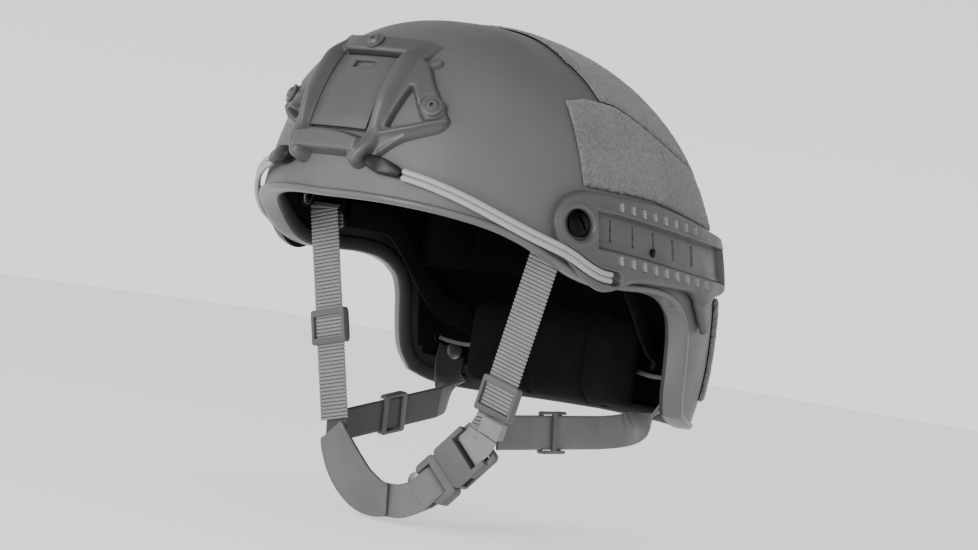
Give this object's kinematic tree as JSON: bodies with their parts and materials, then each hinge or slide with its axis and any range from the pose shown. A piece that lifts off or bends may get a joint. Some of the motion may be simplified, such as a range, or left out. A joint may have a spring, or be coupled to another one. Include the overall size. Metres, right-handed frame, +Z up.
{
  "type": "combat helmet",
  "caption": "High-cut padded combat helmet with notched side rails, a front mount frame, loop panels and a buckled chin-strap harness.",
  "frame": {"origin": "head_seat, the middle of the wearer's head at the height of the brow, 115 mm under the crown", "axes": "+X to the wearer's left, -Y to the front, +Z up to the crown"},
  "size_m": [0.2346, 0.297, 0.2794],
  "materials": {
    "shell_coat": "matt textured coating on aramid composite",
    "rubber_trim": "matt",
    "grey_plastic": "fine moulded texture",
    "black_plastic": "satin",
    "black_steel": "black oxide",
    "bare_steel": "satin",
    "loop_pile": "loop pile",
    "black_pad": "knit cover on foam",
    "liner_foam": "matt foam",
    "grey_webbing": "ribbed webbing",
    "dark_webbing": "smooth webbing",
    "cup_hide": "matt moulded",
    "cord": "elastic cord"
  },
  "bodies": {
    "helmet": {"shell": "shell_coat", "edge_trim": "rubber_trim", "shroud": "grey_plastic", "shroud_lock_plate": "black_steel", "shroud_screws": "bare_steel", "rail_left": "grey_plastic", "rail_right": "grey_plastic", "rail_bolts": "black_steel", "rail_rear_screws": "black_steel", "rail_nuts": "bare_steel", "loop_crown": "loop_pile", "loop_side_left": "loop_pile", "loop_side_right": "loop_pile", "loop_rear": "loop_pile", "liner_cap": "liner_foam", "pad_crown": "black_pad", "pad_front": "black_pad", "pad_side_left": "black_pad", "pad_side_right": "black_pad", "pad_rear_left": "black_pad", "pad_rear_right": "black_pad", "pad_rear_middle": "black_pad", "nape_pad": "black_pad", "nape_plate": "black_plastic", "dial_base": "black_plastic", "dial_cover": "black_plastic", "band_left": "black_plastic", "band_right": "black_plastic", "strap_anchor_left": "black_plastic", "strap_anchor_right": "black_plastic", "rear_anchors": "bare_steel", "front_strap_left": "grey_webbing", "front_strap_right": "grey_webbing", "rear_strap_left": "dark_webbing", "rear_strap_right": "dark_webbing", "nape_laces": "cord", "lace_eyelets": "black_plastic", "junction_left": "grey_webbing", "junction_right": "dark_webbing", "buckle_socket": "grey_plastic", "plug_strap": "grey_webbing", "chin_cup": "cup_hide", "chin_cup_pad": "black_pad", "bungee_cord_left": "cord", "bungee_cord_right": "cord"},
    "front_slider_l": {"front_slider_left": "grey_plastic"},
    "front_slider_r": {"front_slider_right": "grey_plastic"},
    "rear_slider_l": {"rear_slider_left": "grey_plastic"},
    "rear_slider_r": {"rear_slider_right": "grey_plastic"},
    "plug": {"buckle_plug": "grey_plastic", "chin_snap": "bare_steel"},
    "prong_upper": {"buckle_prong_upper": "grey_plastic"},
    "prong_lower": {"buckle_prong_lower": "grey_plastic"},
    "hook_l": {"bungee_hook_left": "black_plastic"},
    "hook_r": {"bungee_hook_right": "black_plastic"},
    "dial": {"dial_knob": "black_plastic", "dial_pinion": "bare_steel"},
    "rack_l": {"rack_left": "black_plastic"},
    "rack_r": {"rack_right": "black_plastic"}
  },
  "joints": [
    {"name": "front_slider_left_slide", "type": "slide", "parent": "helmet", "child": "front_slider_l", "axis": [0.2364, -0.0369, 0.9709], "range_m": [0, 0.025]},
    {"name": "front_slider_right_slide", "type": "slide", "parent": "helmet", "child": "front_slider_r", "axis": [-0.2364, -0.0369, 0.9709], "range_m": [-0.025, 0.015]},
    {"name": "rear_slider_left_slide", "type": "slide", "parent": "helmet", "child": "rear_slider_l", "axis": [0.0269, 0.9974, 0.0672], "range_m": [-0.025, 0.025]},
    {"name": "rear_slider_right_slide", "type": "slide", "parent": "helmet", "child": "rear_slider_r", "axis": [-0.0264, 0.9776, 0.2087], "range_m": [-0.025, 0.025]},
    {"name": "buckle_plug_slide", "type": "slide", "parent": "helmet", "child": "plug", "axis": [-0.6433, -0.1417, -0.7524], "range_m": [0, 0.01], "deforming": ["plug_strap"]},
    {"name": "prong_upper_flex", "type": "hinge", "parent": "plug", "child": "prong_upper", "pos_m": [0.04596, -0.04502, -0.13422], "axis": [-0.0971, 0.9899, -0.1035], "range_deg": [-14, 0]},
    {"name": "prong_lower_flex", "type": "hinge", "parent": "plug", "child": "prong_lower", "pos_m": [0.03381, -0.04512, -0.12381], "axis": [-0.0971, 0.9899, -0.1035], "range_deg": [0, 14]},
    {"name": "bungee_hook_left_pull", "type": "slide", "parent": "helmet", "child": "hook_l", "axis": [0.1961, -0.9806, 0], "range_m": [0, 0.008], "deforming": ["bungee_cord_left"]},
    {"name": "bungee_hook_right_pull", "type": "slide", "parent": "helmet", "child": "hook_r", "axis": [-0.1961, -0.9806, 0], "range_m": [0, 0.008], "deforming": ["bungee_cord_right"]},
    {"name": "dial_turn", "type": "hinge", "parent": "helmet", "child": "dial", "pos_m": [0, 0.12, -0.062], "axis": [0, 1, 0], "range_deg": [-110, 110]},
    {"name": "rack_left_slide", "type": "slide", "parent": "helmet", "child": "rack_l", "axis": [1, 0, 0], "range_m": [-0.01, 0.01]},
    {"name": "rack_right_slide", "type": "slide", "parent": "helmet", "child": "rack_r", "axis": [1, 0, 0], "range_m": [-0.01, 0.01]}
  ],
  "couplings": [
    {"joint": "prong_upper_flex", "follows": "buckle_plug_slide", "rad_per_m": -24},
    {"joint": "prong_lower_flex", "follows": "buckle_plug_slide", "rad_per_m": 24},
    {"joint": "rack_left_slide", "follows": "dial_turn", "m_per_rad": 0.005},
    {"joint": "rack_right_slide", "follows": "dial_turn", "m_per_rad": -0.005}
  ]
}
